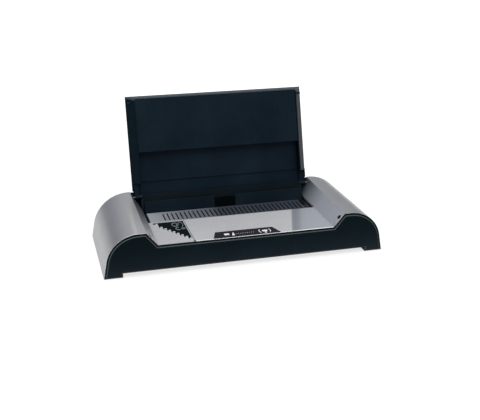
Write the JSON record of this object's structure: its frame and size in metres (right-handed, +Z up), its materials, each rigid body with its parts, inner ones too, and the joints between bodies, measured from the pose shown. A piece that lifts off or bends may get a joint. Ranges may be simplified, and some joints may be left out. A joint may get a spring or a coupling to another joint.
{
  "type": "thermal binding machine",
  "caption": "Desk-top thermal binding machine: wing-ended body, heated spine channel with a sliding guard, and a lid that props reports.",
  "frame": {"origin": "on the surface the machine stands on, under the middle of its overall box with the lid open", "axes": "+X to the operator's right along the binding channel, +Y to the rear, +Z up"},
  "size_m": [0.5298, 0.2568, 0.2691],
  "materials": {
    "silver_plastic": "satin metallic paint",
    "black_gloss": "semi-gloss",
    "black_plastic": "fine moulded grain",
    "white_plastic": "satin",
    "rubber": "matt",
    "steel": "zinc plated",
    "aluminium": "mill finish",
    "silicone": "matt",
    "insulation": "felted glass fibre",
    "circuit_board": "solder mask",
    "brass": "bright"
  },
  "bodies": {
    "base": {"base_tray": "black_plastic", "rubber_feet": "rubber", "front_fascia": "black_gloss", "rear_panel": "black_plastic", "deck_cover": "silver_plastic", "right_wing_cover": "silver_plastic", "left_wing_cover": "silver_plastic", "gauge_plate": "silver_plastic", "gauge_field": "black_gloss", "gauge_teeth": "silver_plastic", "control_bezel": "black_gloss", "control_board": "circuit_board", "channel_back_wall": "black_plastic", "side_frame_right": "black_plastic", "side_frame_left": "black_plastic", "hinge_pin_right": "steel", "hinge_pin_left": "steel", "guard_rail_right": "black_plastic", "guard_rail_left": "black_plastic", "heater_plate": "aluminium", "heater_element": "silicone", "insulation_mat": "insulation", "heater_cradle": "steel", "rear_shelf": "black_plastic", "power_board": "circuit_board", "board_posts": "white_plastic", "transformer": "steel", "heat_sink": "aluminium", "power_relay": "black_plastic", "fuse_holder": "black_plastic", "terminal_block": "white_plastic", "buzzer": "black_plastic", "temperature_sensor": "aluminium", "thermal_cutouts": "aluminium", "mains_inlet": "black_plastic", "inlet_pins": "brass", "switch_frame": "black_plastic"},
    "lid": {"lid_shell": "black_gloss", "lid_liner": "black_gloss", "hinge_arm_right": "black_gloss", "hinge_arm_left": "black_gloss", "latch_nub_right": "black_gloss", "latch_nub_left": "black_gloss"},
    "guard": {"guard_wall": "black_gloss", "guard_strip": "silver_plastic", "guard_glides": "white_plastic", "guard_grip": "black_gloss"},
    "power_button": {"power_button": "white_plastic"},
    "ready_button": {"ready_button": "white_plastic"},
    "rocker": {"rocker_cap": "black_plastic"}
  },
  "joints": [
    {"name": "lid_hinge", "type": "hinge", "parent": "base", "child": "lid", "pos_m": [0, 0.06598, 0.07958], "axis": [1, 0, 0], "range_deg": [0, 107.64]},
    {"name": "guard_slide", "type": "slide", "parent": "base", "child": "guard", "axis": [0, 1, 0], "range_m": [-0.05, 0.0075]},
    {"name": "power_button_press", "type": "slide", "parent": "base", "child": "power_button", "axis": [0, 0, -1], "range_m": [0, 0.0008], "stiffness_N_per_m": 1500, "springref_m": -0.0007},
    {"name": "ready_button_press", "type": "slide", "parent": "base", "child": "ready_button", "axis": [0, 0, -1], "range_m": [0, 0.0008], "stiffness_N_per_m": 1500, "springref_m": -0.0007},
    {"name": "rocker_tip", "type": "hinge", "parent": "base", "child": "rocker", "pos_m": [0.229, 0.08059, 0.034], "axis": [0, 0, -1], "range_deg": [0, 16]}
  ]
}
